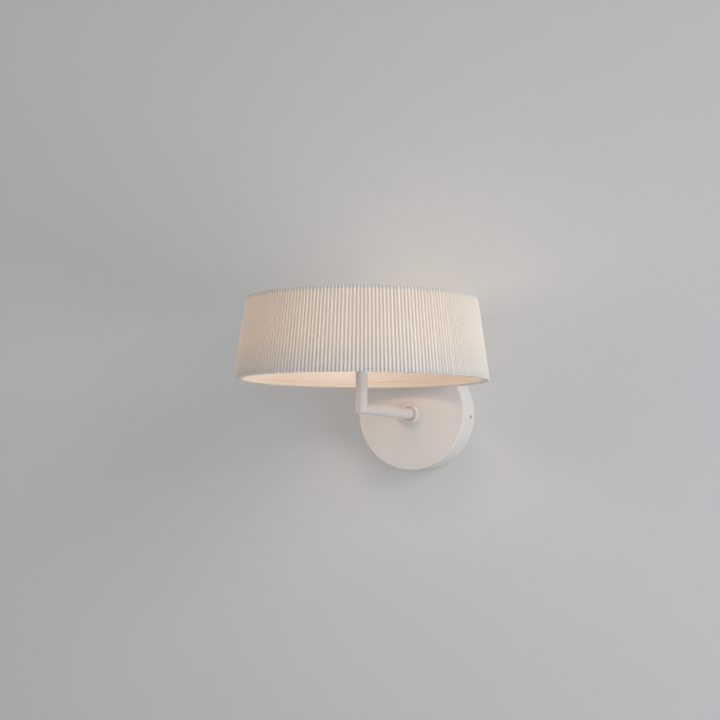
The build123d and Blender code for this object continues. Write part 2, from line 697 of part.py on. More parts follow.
def supply_wire(x, above_terminal, corner, from_cover, above_driver_middle):
    """A wire from one pole of the terminal block, in a loop beside the driver, to an entry in its end."""
    out = MODULE_SEAT - TERMINAL_DEPTH / 2
    start = TERMINAL_HEIGHT / 2 - TERMINAL_DROP
    end = -DRIVER_LENGTH / 2
    height = DRIVER_RISE + above_driver_middle
    loop = -loop_across(from_cover, height)
    points = [
        (x, start - WIRE_END_INSIDE, out),
        (x, start + above_terminal, out),
        (loop, corner, entry_out()),
        (loop, height, entry_out()),
        (end + WIRE_END_INSIDE, height, entry_out()),
    ]
    return OUT_FROM_WALL * lead(points, WIRE_DIAMETER)


def live_wire():
    """The outer of the two supply wires, to the driver's upper entry."""
    x = pole_places()[0]
    return supply_wire(x, OUTER_WIRE_RISE, OUTER_WIRE_CORNER, OUTER_WIRE_FROM_COVER, DRIVER_HEIGHT / 4)


def neutral_wire():
    """The inner of the two supply wires, to the driver's lower entry."""
    x = pole_places()[1]
    return supply_wire(x, INNER_WIRE_RISE, INNER_WIRE_CORNER, INNER_WIRE_FROM_COVER, -DRIVER_HEIGHT / 4)


def earth_wire():
    """The wire from the terminal block's last pole to the earth lug."""
    out = MODULE_SEAT - TERMINAL_DEPTH / 2
    start = TERMINAL_HEIGHT / 2 - TERMINAL_DROP
    barrel_end = EARTH_RISE + lug_barrel_middle() - LUG_BARREL_LENGTH / 2
    points = [
        (pole_places()[-1], start - WIRE_END_INSIDE, out),
        (pole_places()[-1], start + EARTH_WIRE_RISE, out),
        (EARTH_ACROSS, barrel_end - EARTH_WIRE_RUN_IN, lug_barrel_out()),
        (EARTH_ACROSS, barrel_end + WIRE_END_INSIDE, lug_barrel_out()),
    ]
    return OUT_FROM_WALL * lead(points, WIRE_DIAMETER)


def lamp_lead():
    """The cable from the driver through arm and stem up into the lamp head."""
    corner_room = (TUBE_BORE / math.sqrt(2) - LEAD_DIAMETER / 2) / (math.sqrt(2) - 1)
    elbow = (0, 0, ARM_REACH)
    loop = loop_across(LEAD_FROM_COVER, DRIVER_RISE)
    behind_nut = WALL_NUT_BACK - NIPPLE_TAIL - LEAD_TURN_IN
    turn_in = (0, 0, behind_nut)
    points = [
        (DRIVER_LENGTH / 2 - WIRE_END_INSIDE, DRIVER_RISE, entry_out()),
        (loop, DRIVER_RISE, entry_out()),
        (loop, 0, behind_nut),
        turn_in,
        elbow,
        (0, LEAD_END, ARM_REACH),
    ]
    tightest = {elbow: 0.93 * corner_room, turn_in: LEAD_TURN_IN - THREAD_CLEARANCE}
    return OUT_FROM_WALL * lead(points, LEAD_DIAMETER, tightest)


def strip_wires():
    """The lead's two cores, from its end out through the core to the strip."""
    surface = CORE_DIAMETER / 2 + GLUE_GAP + STRIP_THICKNESS
    exit_height = CAP_TOP + LEAD_EXIT_HEIGHT
    wires = []
    for side in (-1, 1):
        y = side * CORE_WIRE_SPACING / 2
        points = [(0, y, LEAD_END), (0, y, exit_height), (surface, y, exit_height)]
        wires.append(ON_STEM * lead(points, CORE_WIRE_DIAMETER))
    return wires


PIECES = {
    "wall_bracket": wall_bracket,
    "wall_cover": wall_cover,
    "cover_grub_screws": cover_grub_screws,
    "arm_collar": arm_collar,
    "wall_nipple": wall_nipple,
    "wall_washer": wall_washer,
    "wall_nut": wall_nut,
    "arm_tube": arm_tube,
    "stem_tube": stem_tube,
    "head_nipple": head_nipple,
    "base_cap": base_cap,
    "led_core": led_core,
    "led_strip": led_strip,
    "led_chips": led_chips,
    "opal_tube": opal_tube,
    "top_cap": top_cap,
    "head_nut": head_nut,
    "shade_spider": shade_spider,
    "shade_top_ring": shade_top_ring,
    "shade_bottom_ring": shade_bottom_ring,
    "shade_liner": shade_liner,
    "shade_pleats": shade_pleats,
    "finial": finial,
    "led_driver": led_driver,
    "terminal_block": terminal_block,
    "terminal_screws": terminal_screws,
    "module_screws": module_screws,
    "earth_screw": earth_screw,
    "earth_lug": earth_lug,
    "live_wire": live_wire,
    "neutral_wire": neutral_wire,
    "earth_wire": earth_wire,
    "lamp_lead": lamp_lead,
    "strip_wires": strip_wires,
}


def main():
    """Writes one file for each piece; a group of like solids goes into one file."""
    os.makedirs("parts", exist_ok=True)
    for name, make in PIECES.items():
        made = make()
        solids = made if isinstance(made, list) else [made]
        export_step(Compound(children=[s for piece in solids for s in piece.solids()]), f"parts/{name}.step")


main()
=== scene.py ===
"""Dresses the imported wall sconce: pleated cloth, powder-coated metal, a lit lamp head and a plain stage.

The file is laid out as an add-on with one operator for each group of pieces, and is run as a script.
Lengths are in metres. The wall is the plane Y = 0, the light stands out towards -Y, and +Z is up.
"""

import math
from typing import NamedTuple

import bpy
import numpy as np
from bpy.props import FloatProperty, FloatVectorProperty, IntProperty, PointerProperty
from mathutils import Matrix, Vector


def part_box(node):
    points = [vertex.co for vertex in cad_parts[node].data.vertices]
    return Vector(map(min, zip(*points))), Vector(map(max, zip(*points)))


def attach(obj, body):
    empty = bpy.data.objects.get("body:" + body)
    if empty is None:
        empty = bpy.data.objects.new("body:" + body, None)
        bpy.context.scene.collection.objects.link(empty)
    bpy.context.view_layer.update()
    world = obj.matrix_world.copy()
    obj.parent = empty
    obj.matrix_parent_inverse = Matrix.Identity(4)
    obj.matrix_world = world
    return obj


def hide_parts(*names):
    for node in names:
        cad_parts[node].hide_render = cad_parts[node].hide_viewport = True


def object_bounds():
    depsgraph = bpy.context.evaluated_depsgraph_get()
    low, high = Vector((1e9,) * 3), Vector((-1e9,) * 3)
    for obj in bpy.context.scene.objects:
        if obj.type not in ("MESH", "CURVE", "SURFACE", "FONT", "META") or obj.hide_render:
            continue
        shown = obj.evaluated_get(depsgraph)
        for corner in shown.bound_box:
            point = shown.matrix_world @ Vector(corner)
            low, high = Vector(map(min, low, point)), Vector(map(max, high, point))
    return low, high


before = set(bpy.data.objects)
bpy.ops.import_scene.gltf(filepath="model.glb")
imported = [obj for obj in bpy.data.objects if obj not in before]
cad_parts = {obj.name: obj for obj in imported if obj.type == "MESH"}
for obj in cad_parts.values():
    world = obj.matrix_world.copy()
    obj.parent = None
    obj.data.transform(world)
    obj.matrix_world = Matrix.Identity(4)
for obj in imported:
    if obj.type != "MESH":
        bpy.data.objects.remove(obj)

bl_info = {
    "name": "Pleated wall sconce",
    "version": (1, 0, 0),
    "blender": (4, 5, 0),
    "location": "3D View > Sidebar > Sconce",
    "description": "Pleats the shade's cloth, finishes the metal, lights the lamp head and sets the stage",
    "category": "Object",
}

CAD_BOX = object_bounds()

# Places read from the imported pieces
SHADE_LOW, SHADE_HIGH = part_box("shade_pleats")
SHADE_AXIS = ((SHADE_LOW.x + SHADE_HIGH.x) / 2, (SHADE_LOW.y + SHADE_HIGH.y) / 2)
OPAL_LOW, OPAL_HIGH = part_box("opal_tube")
RING_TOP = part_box("shade_bottom_ring")[1].z
RING_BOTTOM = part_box("shade_top_ring")[0].z

# The photograph's camera: its place and two of its axes, its sensor's width in millimetres, and its range
CAMERA_PLACE = (0.654604, -1.681379, -0.083037)
CAMERA_RIGHT = (0.91720029, 0.39838124, 0.00600215)
CAMERA_UP = (0.02630377, -0.07557767, 0.99679292)
SENSOR_WIDTH = 36.0
NEAREST_SEEN = 0.01
FARTHEST_SEEN = 50.0

# The flat stage. The wall stands a hair in front of the bracket's back, so that no two faces share a plane
WALL_WIDTH = 8.0
WALL_HEIGHT = 4.0
WALL_LIFT = 0.00002
FLOOR_SIDE = 10.0
WORLD_TINT = (0.985, 0.99, 1.0)
WORLD_SEEN = (0.60, 0.605, 0.615)

# The lamp's own light: a ring of small lights below the shade's top edge, and one that goes up
LAMP_TINT = (1.0, 0.72, 0.49)
RING_LIGHTS = 8
RING_LIGHT_RADIUS = 0.05
RING_LIGHT_DROP = 0.019
RING_LIGHT_LEAN = 0.8
RING_LIGHT_SIZE = 0.02
UP_LIGHT_AIM = (0.0, 0.35, 1.0)
UP_LIGHT_SIZE = 0.05
UP_LIGHT_SHARE = 0.33

# The cloth's sheet: points along one fold, rows between its edges, how far in from the edges they start,
# the most by which a fold is shallower, and the seed of its unevenness
FOLD_POINTS = 14
SHEET_ROWS = 9
SHEET_EDGE = 0.00025
MOST_SHALLOW = 0.08
UNEVEN_SEED = 11

NO_LIGHT = (0.0, 0.0, 0.0)
WHITE = (1.0, 1.0, 1.0)


class SoftBox(NamedTuple):
    """A square studio light: its place from what it faces, its side, its tint and its spread in degrees."""

    place: tuple
    size: float
    tint: tuple = WHITE
    spread: float = 180.0


KEY_BOX = SoftBox((2.66, -1.47, 0.90), 1.54, (0.955, 0.98, 1.0))
FILL_BOX = SoftBox((1.9, -0.68, -0.60), 1.0, (0.92, 0.965, 1.0), 70.0)
FRONT_BOX = SoftBox((0.55, -2.35, -0.45), 1.4)
BOUNCE_BOX = SoftBox((-1.9, -0.22, 0.15), 1.0, (1.0, 0.9, 0.8), 60.0)
BACK_BOX = SoftBox((-0.10, 1.25, 0.40), 1.0)


def colour(name, description, default):
    """A colour that a user can change."""
    return FloatVectorProperty(
        name=name, description=description, default=default, subtype="COLOR", size=3, min=0.0, max=1.0
    )


def length(name, description, default):
    """A size in metres that a user can change."""
    return FloatProperty(
        name=name, description=description, default=default, unit="LENGTH", min=0.0, precision=4
    )


def share(name, description, default, most=1.0):
    """A plain number between nought and the most it may be."""
    return FloatProperty(
        name=name, description=description, default=default, subtype="FACTOR", min=0.0, max=most
    )


def watts(name, description, default):
    """A light's power in watts that a user can change."""
    return FloatProperty(name=name, description=description, default=default, unit="POWER")


class ShadeSettings(bpy.types.PropertyGroup):
    """Sizes and colours of the shade."""

    bottom_diameter: length(
        "Bottom diameter", "Across the ridges of the pleats at the lower edge", SHADE_HIGH.x - SHADE_LOW.x
    )
    top_diameter: length("Top diameter", "Across the ridges of the pleats at the upper edge", 0.2364)
    pleats: IntProperty(name="Pleats", description="Number of pleats around the shade", default=210, min=12)
    cloth_in_pleat: length("Cloth in a pleat", "Width of flat cloth that one pleat takes up", 0.00655)
    cloth_thickness: length("Cloth thickness", "Thickness of the cloth", 0.00035)
    thread_pitch: length("Thread pitch", "Distance between two threads of the weave", 0.00036)
    unevenness: share("Unevenness", "How far a pleat leans, as a share of the pitch", 0.07)
    cloth: colour("Cloth", "Colour of the cloth", (0.556, 0.542, 0.522))
    cloth_glow: colour("Cloth glow", "Light that comes through the cloth", (0.245, 0.134, 0.052))
    liner: colour("Liner", "Colour of the stiff liner", (0.57, 0.52, 0.47))
    # The liner glow is painted light: a glow that stands in for the lamp's light on the liner's inner face.
    liner_glow: colour("Liner glow", "Light that comes through the liner", (0.07, 0.045, 0.032))
    ring: colour("Rings", "Colour of the two moulded rings", (0.70, 0.685, 0.66))


class FinishSettings(bpy.types.PropertyGroup):
    """Colours of the metal, the lamp head and the electrics."""

    paint: colour("Paint", "Powder coat of the arm and the cover", (0.592, 0.563, 0.543))
    steel: colour("Steel", "Zinc-plated bracket and fasteners", (0.52, 0.53, 0.545))
    black: colour("Blackened steel", "Headless screws of the cover", (0.045, 0.044, 0.046))
    brass: colour("Brass", "Threaded tubes and the earth lug", (0.74, 0.57, 0.29))
    aluminium: colour("Aluminium", "Turned core of the lamp head", (0.78, 0.79, 0.80))
    board: colour("Board", "Solder mask of the LED strip", (0.86, 0.86, 0.84))
    phosphor: colour("Phosphor", "Light sources on the strip", (0.92, 0.76, 0.30))
    phosphor_glow: colour("Phosphor glow", "Light that the sources give", (0.5, 0.4, 0.2))
    opal: colour("Opal", "Milky tube of the lamp head", (0.52, 0.50, 0.47))
    opal_glow: colour("Opal glow", "Light that the milky tube gives", (0.38, 0.30, 0.215))
    driver: colour("Driver", "Case of the driver", (0.82, 0.82, 0.80))
    terminal: colour("Terminal", "Natural nylon of the terminal block", (0.76, 0.74, 0.67))
    live: colour("Live", "Sheath of the live wire", (0.26, 0.125, 0.065))
    neutral: colour("Neutral", "Sheath of the neutral wire", (0.055, 0.17, 0.47))
    earth: colour("Earth", "Ground of the earth wire's sheath", (0.10, 0.34, 0.07))
    earth_stripe: colour("Earth stripe", "Stripe of the earth wire's sheath", (0.78, 0.68, 0.05))
    lead: colour("Lead", "Sheath of the lead to the lamp head", (0.82, 0.82, 0.80))


class StageSettings(bpy.types.PropertyGroup):
    """Wall, floor, light and camera."""

    wall: colour("Wall", "Paint of the wall", (0.533, 0.538, 0.550))
    halo: colour("Halo", "Light that the cloth throws on the wall right behind it", (0.088, 0.070, 0.052))
    floor: colour("Floor", "Pale floor", (0.72, 0.72, 0.71))
    floor_height: length("Floor below", "How far the floor lies below the wall cover's middle", 0.95)
    lens: FloatProperty(
        name="Lens", description="Focal length on a 36 mm sensor, in millimetres", default=81.13
    )
    key_power: watts("Key", "Power of the large soft light", 33.5)
    fill_power: watts("Fill", "Power of the light from low on the right", 3.3)
    front_power: watts("Front", "Power of the soft light from the front", 4.3)
    bounce_power: watts("Bounce", "Power of the weak light from the left", 1.5)
    back_power: watts("Back", "Power of the light on the open back of the cover", 8.0)
    lamp_power: watts("Lamp", "Power of the light inside the shade", 0.19)
    ambient: share("Ambient", "Strength of the light from all round", 0.49, most=2.0)


class Value:
    """One output in a finish; arithmetic on it adds Math nodes."""

    def __init__(self, finish, socket):
        self.finish = finish
        self.socket = socket

    def worked(self, operation, first, second):
        """A Math node on two values or numbers."""
        return self.finish.node("ShaderNodeMath", {"operation": operation}, {0: first, 1: second})

    def __add__(self, other):
        return self.worked("ADD", self, other)

    def __radd__(self, other):
        return self.worked("ADD", other, self)

    def __sub__(self, other):
        return self.worked("SUBTRACT", self, other)

    def __rsub__(self, other):
        return self.worked("SUBTRACT", other, self)

    def __mul__(self, other):
        return self.worked("MULTIPLY", self, other)

    def __rmul__(self, other):
        return self.worked("MULTIPLY", other, self)

    def __truediv__(self, other):
        return self.worked("DIVIDE", self, other)

    def __rtruediv__(self, other):
        return self.worked("DIVIDE", other, self)

    def __pow__(self, other):
        return self.worked("POWER", self, other)


class Finish:
    """A material in the making: its node tree, and one method that adds any node to it."""

    def __init__(self, name):
        self.material = bpy.data.materials.new(name)
        self.material.use_nodes = True
        self.tree = self.material.node_tree
        self.tree.nodes.clear()
        self.place = self.node("ShaderNodeTexCoord", out="Object")

    def node(self, kind, settings=(), sockets=(), out=0):
        """Adds a node: its settings, then the values or links of its sockets. Gives one of its outputs."""
        made = self.tree.nodes.new(kind)
        for name, value in dict(settings).items():
            setattr(made, name, value)
        for name, value in dict(sockets).items():
            if isinstance(value, Value):
                self.tree.links.new(value.socket, made.inputs[name])
            else:
                made.inputs[name].default_value = value
        return Value(self, made.outputs[out]) if made.outputs else made

    def along(self, axis):
        """The X, Y or Z part of the object's own coordinates."""
        return self.node("ShaderNodeSeparateXYZ", (), {0: self.place}, out=axis)

    def stretched(self, scale, place=None):
        """Coordinates drawn out by a scale along each axis."""
        return self.node("ShaderNodeMapping", (), {"Vector": place or self.place, "Scale": scale})

    def noise(self, scale, detail=2.0, place=None):
        """Cloudy noise with a number of patches to the metre."""
        sockets = {"Vector": place or self.place, "Scale": scale, "Detail": detail}
        return self.node("ShaderNodeTexNoise", (), sockets)

    def wave(self, distance, spacing):
        """A sine from 0 to 1 that repeats at a spacing along a distance."""
        swing = self.node("ShaderNodeMath", {"operation": "SINE"}, {0: distance * (2 * math.pi / spacing)})
        return swing * 0.5 + 0.5

    def ramp(self, value, start, end):
        """Rises smoothly from 0 to 1 while the value goes from start to end."""
        sockets = {"Value": value, "From Min": start, "From Max": end}
        return self.node("ShaderNodeMapRange", {"interpolation_type": "SMOOTHSTEP"}, sockets)

    def mixed(self, mask, first, second):
        """A colour between two, by a mask."""
        sockets = {0: mask, 6: solid(first), 7: solid(second)}
        return self.node("ShaderNodeMix", {"data_type": "RGBA"}, sockets, out=2)

    def toned(self, mask, tint, start, end):
        """A colour times a factor that goes from start to end, by a mask."""
        return self.mixed(mask, times(tint, start), times(tint, end))

    def bump(self, height, distance, strength):
        """A normal from a height between 0 and 1 that stands for a distance in metres."""
        sockets = {"Height": height, "Distance": distance, "Strength": strength}
        return self.node("ShaderNodeBump", (), sockets)

    def shader(self, base, roughness, normal=None, glow=None, **fixed):
        """A surface shader; fixed names shader sockets that are the same all over."""
        sockets = {"Base Color": solid(base), "Roughness": roughness}
        if normal is not None:
            sockets["Normal"] = normal
        if glow is not None:
            sockets["Emission Color"] = solid(glow)
            sockets["Emission Strength"] = 1.0
        for name, value in fixed.items():
            sockets[name.replace("_", " ").title().replace("Ior", "IOR")] = value
        return self.node("ShaderNodeBsdfPrincipled", (), sockets)

    def surface(self, *looks, **fixed):
        """Ends the finish in one surface shader."""
        self.end(self.shader(*looks, **fixed))
        return self

    def end(self, shader):
        """Links a shader to the material's output."""
        self.node("ShaderNodeOutputMaterial", (), {"Surface": shader})


def solid(value):
    """A colour as its socket takes it; a linked value stays as it is."""
    if isinstance(value, Value):
        return value
    return (*value, 1.0)


def times(tint, factor):
    """A colour made lighter or darker."""
    return tuple(min(1.0, part * factor) for part in tint)


def finish_nodes(finish, *names):
    """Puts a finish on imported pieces."""
    for name in names:
        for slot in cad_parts[name].material_slots:
            slot.material = finish.material


def powder_coat(tint):
    """Baked powder: a soft orange peel with a finer grain in it, and a little dust on what faces up."""
    finish = Finish("powder_coat")
    peel = finish.noise(620.0, detail=1.5)
    grain = finish.noise(3600.0, detail=1.0)
    cloud = finish.noise(38.0)
    facing = finish.node("ShaderNodeNewGeometry", out="Normal")
    up = finish.node("ShaderNodeSeparateXYZ", (), {0: facing}, out="Z")
    dust = finish.ramp(up, 0.55, 1.0) * cloud
    clean = finish.toned(cloud * 0.7 + grain * 0.3, tint, 0.965, 1.03)
    dusty = finish.mixed(dust * 0.5, clean, times(tint, 0.88))
    roughness = peel * 0.12 + 0.44 + dust * 0.15
    relief = finish.bump(peel * 0.6 + grain * 0.4, distance=0.00005, strength=0.7)
    return finish.surface(dusty, roughness, relief, specular_ior_level=0.42)


def zinc_plate(tint):
    """Zinc on steel: small spangles, drawn streaks and dull patches."""
    finish = Finish("zinc_plate")
    spangle = finish.node("ShaderNodeTexVoronoi", (), {"Vector": finish.place, "Scale": 520.0}, out="Color")
    tone = finish.node("ShaderNodeSeparateXYZ", (), {0: spangle}, out=0)
    streak = finish.noise(160.0, detail=3.0, place=finish.stretched((1.0, 9.0, 9.0)))
    dull = finish.noise(90.0, detail=3.0)
    base = finish.toned(tone * 0.5 + streak * 0.5, tint, 0.78, 1.16)
    roughness = dull * 0.25 + tone * 0.10 + 0.30
    relief = finish.bump(streak * 0.7 + tone * 0.3, distance=0.00003, strength=0.5)
    return finish.surface(base, roughness, relief, metallic=1.0)


def blackened_steel(tint):
    """Oil-blackened steel: drawn streaks, and patches where the oil has dried dull."""
    finish = Finish("blackened_steel")
    streak = finish.noise(420.0, detail=3.0, place=finish.stretched((0.2, 1.0, 1.0)))
    dry = finish.noise(260.0, detail=3.0)
    base = finish.toned(streak * 0.6 + dry * 0.4, tint, 0.75, 1.3)
    roughness = dry * 0.3 + 0.34
    relief = finish.bump(streak, distance=0.00002, strength=0.5)
    return finish.surface(base, roughness, relief, metallic=1.0)


def threaded_brass(name, tint, axis):
    """Brass with a rolled thread along one axis, darker in the thread's roots."""
    finish = Finish(name)
    pitch = 0.001
    thread = finish.wave(finish.along(axis), pitch)
    tarnish = finish.noise(240.0, detail=4.0)
    base = finish.toned(thread * 0.6 + tarnish * 0.4, tint, 0.6, 1.12)
    roughness = tarnish * 0.3 + 0.2
    relief = finish.bump(thread, distance=0.00025, strength=0.8)
    return finish.surface(base, roughness, relief, metallic=1.0)


def turned_aluminium(tint):
    """Aluminium off the lathe: fine rings across the axis and a slow change of tone."""
    finish = Finish("turned_aluminium")
    rings = finish.noise(40.0, detail=3.0, place=finish.stretched((0.2, 0.2, 90.0)))
    cloud = finish.noise(70.0)
    base = finish.toned(rings * 0.7 + cloud * 0.3, tint, 0.86, 1.08)
    roughness = rings * 0.25 + 0.22
    relief = finish.bump(rings, distance=0.00002, strength=0.6)
    return finish.surface(base, roughness, relief, metallic=1.0)


def strip_board(tint):
    """White solder mask with copper tracks that stand up faintly under it."""
    finish = Finish("strip_board")
    track_spacing = 0.0052
    tracks = finish.ramp(finish.wave(finish.along(2), track_spacing), 0.35, 0.5)
    grain = finish.noise(2600.0)
    base = finish.toned(tracks * 0.7 + grain * 0.3, tint, 0.93, 1.02)
    roughness = grain * 0.14 + 0.34
    return finish.surface(base, roughness, finish.bump(tracks, distance=0.00003, strength=0.6))


def lit_phosphor(tint, glow):
    """Silicone over phosphor, lit, paler where the grains lie closer."""
    finish = Finish("lit_phosphor")
    grains = finish.noise(5200.0)
    base = finish.toned(grains, tint, 0.9, 1.05)
    roughness = grains * 0.1 + 0.25
    return finish.surface(base, roughness, finish.bump(grains, distance=0.00002, strength=0.5), glow)


def lit_opal(tint, glow):
    """Milky plastic, lit from inside: brightest at half height and dimmer beside the two caps."""
    finish = Finish("lit_opal")
    height = finish.along(2)
    middle = (OPAL_LOW.z + OPAL_HIGH.z) / 2
    half = (OPAL_HIGH.z - OPAL_LOW.z) / 2
    off_middle = (height - middle) / half
    dim = finish.ramp(off_middle * off_middle, 0.25, 1.05)
    haze = finish.noise(190.0, detail=3.0)
    light = finish.toned(dim * 0.8 + haze * 0.2, glow, 1.0, 0.62)
    base = finish.toned(haze, tint, 0.97, 1.02)
    roughness = haze * 0.08 + 0.30
    return finish.surface(base, roughness, finish.bump(haze, distance=0.00003, strength=0.3), light)


def moulded(name, tint, grain_scale, depth, rough):
    """Moulded plastic: a spark-etched grain, a little flow in its tone and uneven gloss."""
    finish = Finish(name)
    grain = finish.noise(grain_scale)
    flow = finish.noise(26.0, detail=3.0, place=finish.stretched((1.0, 1.0, 2.5)))
    base = finish.toned(flow * 0.6 + grain * 0.4, tint, 0.94, 1.04)
    return finish.surface(base, grain * 0.16 + rough, finish.bump(grain, distance=depth, strength=0.7))


def liner_film(tint, glow):
    """The stiff liner: long pale fibres in a warm film, with a painted glow for the lamp's light on it."""
    finish = Finish("liner_film")
    round_way = finish.noise(900.0, detail=3.0, place=finish.stretched((1.0, 1.0, 0.12)))
    up_way = finish.noise(900.0, detail=3.0, place=finish.stretched((0.2, 0.2, 1.0)))
    fibres = finish.ramp(round_way * 0.5 + up_way * 0.5, 0.42, 0.60)
    cloud = finish.noise(34.0)
    base = finish.toned(fibres * 0.6 + cloud * 0.4, tint, 0.95, 1.04)
    # Painted light: a glow in place of the lamp's light on the liner, uneven with the fibres and clouds.
    light = finish.toned(fibres * 0.3 + cloud * 0.7, glow, 1.15, 0.86)
    roughness = fibres * 0.1 + 0.55
    return finish.surface(base, roughness, finish.bump(fibres, distance=0.00004, strength=0.5), light)


def inner_radius(name):
    """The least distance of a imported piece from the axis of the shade."""
    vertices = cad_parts[name].data.vertices
    places = np.empty(len(vertices) * 3, dtype=np.float32)
    vertices.foreach_get("co", places)
    across = places.reshape(-1, 3)[:, :2] - np.array(SHADE_AXIS)
    return float(np.hypot(across[:, 0], across[:, 1]).min())


def wrapped_ring(settings):
    """The lower ring: moulded plastic, with the liner turned in over the face that looks at the lamp."""
    finish = Finish("wrapped_ring")
    inner = inner_radius("shade_bottom_ring")
    lining_ends, lining_whole = inner + 0.0012, inner + 0.0006
    to_axis = (-SHADE_AXIS[0], -SHADE_AXIS[1], 0.0)
    sockets = {"Vector": finish.place, "Location": to_axis, "Scale": (1.0, 1.0, 0.0)}
    level = finish.node("ShaderNodeMapping", (), sockets)
    from_axis = finish.node("ShaderNodeVectorMath", {"operation": "LENGTH"}, {0: level}, out="Value")
    turned_in = finish.ramp(from_axis, lining_ends, lining_whole)
    grain = finish.noise(3200.0)
    film = finish.noise(700.0, detail=3.0)
    plain = finish.toned(grain, settings.ring, 0.95, 1.04)
    lining = finish.toned(film, settings.liner, 0.90, 0.98)
    base = finish.mixed(turned_in, plain, lining)
    # Painted light: the turned-in band carries the liner's painted glow, in place of the lamp's light on it.
    light = finish.mixed(turned_in, NO_LIGHT, settings.liner_glow)
    roughness = grain * 0.15 + 0.45
    return finish.surface(base, roughness, finish.bump(grain, distance=0.00003, strength=0.7), light)


def sheath(name, tint, stripe=None):
    """Soft plastic sheathing with a fine drawn grain; the earth wire has slanting stripes."""
    finish = Finish(name)
    drawn = finish.noise(1400.0)
    base = finish.toned(drawn, tint, 0.9, 1.08)
    if stripe is not None:
        stripe_spacing = 0.0052
        slant = finish.along(0) + finish.along(1) * 0.7 + finish.along(2) * 0.5
        band = finish.ramp(finish.wave(slant, stripe_spacing), 0.46, 0.54)
        base = finish.mixed(band, base, stripe)
    roughness = drawn * 0.15 + 0.36
    return finish.surface(base, roughness, finish.bump(drawn, distance=0.00002, strength=0.5))


def pleat_cloth(settings):
    """Fine cotton in narrow pleats, lit from inside.

    The weave is the product of two sines, one along each thread, on the cloth's own flat coordinates.
    Slubs are noise drawn out along the threads. The cloth's colour is painted lighter in the folds, a
    painted light that makes up for the light that narrow folds lose, and the light that comes through
    is weaker there. That light also fades towards the two rings inside.
    """
    finish = Finish("pleat_cloth")
    flat = finish.node("ShaderNodeUVMap", {"uv_map": "flat_cloth"})
    across = finish.node("ShaderNodeSeparateXYZ", (), {0: flat}, out=0)
    up = finish.node("ShaderNodeSeparateXYZ", (), {0: flat}, out=1)
    fold = finish.node("ShaderNodeAttribute", {"attribute_name": "fold"}, out="Fac")
    height = finish.along(2)

    pitch = settings.thread_pitch
    weave = finish.wave(across, pitch) * finish.wave(up, pitch)
    slub = finish.noise(420.0, detail=3.0, place=finish.stretched((0.12, 1.0, 1.0), flat))
    warp = finish.noise(420.0, detail=3.0, place=finish.stretched((1.0, 0.08, 1.0), flat))
    cloud = finish.noise(16.0)

    thread = slub * 0.5 + warp * 0.5
    worn = finish.toned(thread * 0.7 + weave * 0.3, settings.cloth, 0.94, 1.05)
    # Painted light: the cloth is lighter in the folds, to make up for the light that narrow folds lose.
    base = finish.mixed(fold, worn, times(settings.cloth, 1.24))

    ring_blur = 0.0030
    climb = 0.036
    top_fade_starts, top_fade_ends = RING_BOTTOM + 0.0045, RING_BOTTOM + 0.0008
    over_ring = finish.ramp(height, RING_TOP - ring_blur, RING_TOP + ring_blur)
    well_over = finish.ramp(height, RING_TOP, RING_TOP + climb)
    under_ring = finish.ramp(height, top_fade_starts, top_fade_ends)
    zone = (over_ring * 0.3 + well_over * 0.5 + 0.2) * (under_ring * 0.88 + 0.12)
    lit = zone * (fold * -0.16 + 0.66) * (cloud * 0.3 + thread * 0.2 + 0.75)
    light = finish.mixed(lit, NO_LIGHT, settings.cloth_glow)
    return finish.surface(
        base,
        thread * 0.1 + 0.78,
        finish.bump(weave * 0.6 + thread * 0.4, distance=0.00008, strength=0.6),
        light,
        sheen_weight=0.06,
        sheen_roughness=0.35,
        specular_ior_level=0.2,
    )


def fold_swing(pitch, cloth):
    """The angle at which the cloth swings so that a width of cloth fills one pitch.

    The mean of the cosine of a swinging angle is the share of the cloth that goes forward. It is tabled for
    angles from flat to upright and read the other way round.
    """
    flattest, steepest = 0.05, 1.9
    angles = np.linspace(flattest, steepest, 400)
    phase = np.linspace(0.0, 2 * np.pi, 720, endpoint=False)
    forward = np.cos(angles[:, None] * np.sin(phase)[None, :]).mean(axis=1)
    return np.interp(pitch / cloth, forward[::-1], angles[::-1])


def fold_line(swing, cloth, points):
    """One fold seen from above, from ridge to ridge, for each row of the cloth.

    The cloth's direction swings as a sine of the distance along it. Adding up the cosine of that direction
    gives how far along the cloth has gone, and adding up its sine how far in. Gives both, and the direction.
    """
    fine = 24
    steps = (np.arange(points * fine) + 0.5) / (points * fine)
    direction = -swing[:, None] * np.sin(2 * np.pi * steps)[None, :]
    piece = cloth / (points * fine)
    along = np.cumsum(np.cos(direction), axis=1) * piece
    inwards = np.cumsum(np.sin(direction), axis=1) * piece
    start = np.zeros((len(swing), 1))
    along = np.hstack([start, along[:, fine - 1:-1:fine]])
    inwards = np.hstack([start, inwards[:, fine - 1:-1:fine]])
    at = -swing[:, None] * np.sin(2 * np.pi * np.arange(points) / points)[None, :]
    return along, inwards, at


